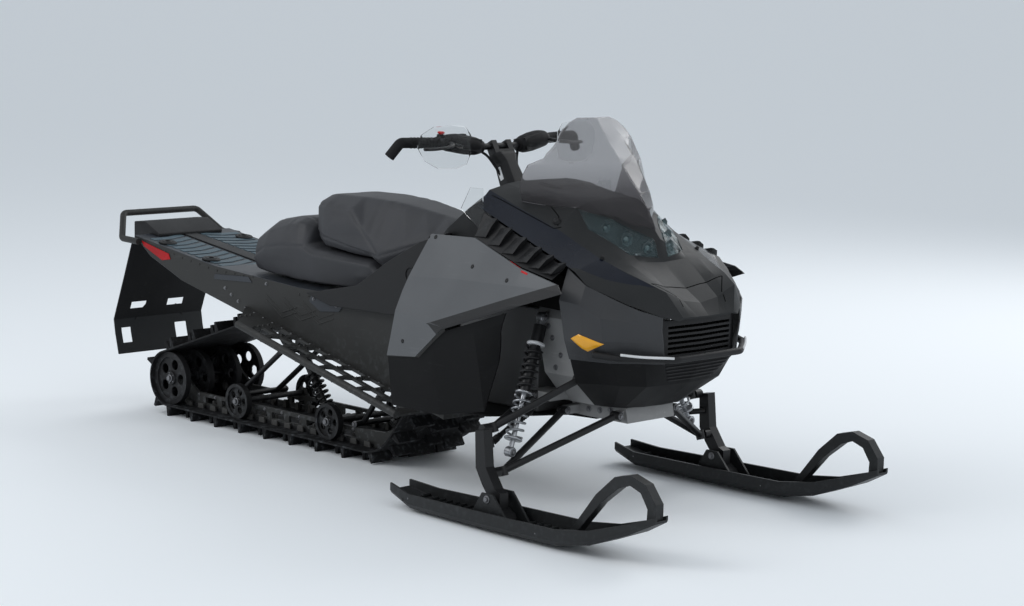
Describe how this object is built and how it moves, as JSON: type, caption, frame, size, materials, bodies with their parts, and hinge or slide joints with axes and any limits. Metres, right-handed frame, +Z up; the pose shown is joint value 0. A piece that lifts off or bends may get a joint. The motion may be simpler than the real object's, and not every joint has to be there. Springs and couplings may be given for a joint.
{
  "type": "snowmobile",
  "caption": "Snowmobile with one long lugged track, two steered skis on coil-sprung arms, a stepped two-up seat, faceted bodywork and a smoked windshield.",
  "frame": {"origin": "on the ground, midway between the rear flap and the ski tips, on the symmetry plane", "axes": "+X forward, +Y to the left, +Z up"},
  "size_m": [3.1101, 1.2, 1.2283],
  "materials": {
    "black_frame": "satin",
    "bare_aluminium": "cast",
    "black_rubber": "matt",
    "track_rubber": "matt",
    "black_plastic": "moulded grain",
    "red_lens": "moulded lens",
    "seat_vinyl": "stitched vinyl",
    "hood_black": "satin black with gloss blue-black stripes",
    "lamp_glass": "clear lens",
    "smoked_screen": "smoked clear sheet",
    "clear_screen": "clear sheet",
    "panel_grey": "satin grey",
    "black_steel": "powder coat",
    "spring_steel": "coated"
  },
  "bodies": {
    "chassis": {"bogie_wheels": "black_plastic", "bulkhead": "bare_aluminium", "cargo_anchors": "black_plastic", "console": "black_plastic", "drive_axle": "bare_aluminium", "engine": "bare_aluminium", "floor_pan": "black_plastic", "front_arms_left": "black_steel", "front_arms_right": "black_steel", "front_bumper": "black_frame", "front_shock_left": "spring_steel", "front_shock_right": "spring_steel", "grille": "black_plastic", "headlamps": "lamp_glass", "hood": "hood_black", "louvres": "black_plastic", "lower_panel_left": "black_plastic", "lower_panel_right": "black_plastic", "nose_cheek_left": "black_plastic", "nose_cheek_right": "black_plastic", "nose_pan": "black_plastic", "rear_bumper": "black_frame", "rear_seat": "seat_vinyl", "rear_shocks": "spring_steel", "rear_wheels": "black_plastic", "rider_seat": "seat_vinyl", "running_board_left": "black_frame", "running_board_right": "black_frame", "side_deflectors": "clear_screen", "side_fairings": "black_plastic", "side_panel_left": "panel_grey", "side_panel_right": "panel_grey", "side_reflectors": "red_lens", "slide_rails": "black_frame", "snow_flap": "black_rubber", "suspension_arms": "black_steel", "tail_cap": "black_plastic", "tail_light": "red_lens", "track": "track_rubber", "tunnel": "black_frame", "tunnel_cooler": "bare_aluminium", "windshield": "smoked_screen"},
    "handlebar": {"steering_post": "black_steel", "handlebar": "black_steel", "grips": "black_rubber", "controls": "black_plastic", "hand_guards": "clear_screen"},
    "spindle_right": {"spindle_right": "black_steel"},
    "tie_rod_right": {"tie_rod_right": "spring_steel"},
    "ski_right": {"ski_right": "black_plastic"},
    "spindle_left": {"spindle_left": "black_steel"},
    "tie_rod_left": {"tie_rod_left": "spring_steel"},
    "ski_left": {"ski_left": "black_plastic"}
  },
  "joints": [
    {"name": "steering", "type": "hinge", "parent": "chassis", "child": "handlebar", "pos_m": [0.47, 0, 0.87], "axis": [-0.4847, 0, 0.8747], "range_deg": [-36, 36]},
    {"name": "spindle_right_steer", "type": "hinge", "parent": "chassis", "child": "spindle_right", "pos_m": [0.85, -0.46, 0.163], "axis": [-0.3423, 0, 0.9396], "range_deg": [-30, 30]},
    {"name": "tie_rod_right_swing", "type": "hinge", "parent": "spindle_right", "child": "tie_rod_right", "pos_m": [0.745, -0.415, 0.225], "axis": [-0.3423, 0, 0.9396], "range_deg": [-30, 30]},
    {"name": "ski_right_pitch", "type": "hinge", "parent": "spindle_right", "child": "ski_right", "pos_m": [0.89, -0.52, 0.096], "axis": [0, 1, 0], "range_deg": [-15, 15]},
    {"name": "spindle_left_steer", "type": "hinge", "parent": "chassis", "child": "spindle_left", "pos_m": [0.85, 0.46, 0.163], "axis": [-0.3423, 0, 0.9396], "range_deg": [-30, 30]},
    {"name": "tie_rod_left_swing", "type": "hinge", "parent": "spindle_left", "child": "tie_rod_left", "pos_m": [0.745, 0.415, 0.225], "axis": [-0.3423, 0, 0.9396], "range_deg": [-30, 30]},
    {"name": "ski_left_pitch", "type": "hinge", "parent": "spindle_left", "child": "ski_left", "pos_m": [0.89, 0.52, 0.096], "axis": [0, 1, 0], "range_deg": [-15, 15]}
  ],
  "couplings": [
    {"joint": "spindle_right_steer", "follows": "steering", "ratio": 0.83},
    {"joint": "tie_rod_right_swing", "follows": "steering", "ratio": -0.83},
    {"joint": "spindle_left_steer", "follows": "steering", "ratio": 0.83},
    {"joint": "tie_rod_left_swing", "follows": "steering", "ratio": -0.83}
  ]
}
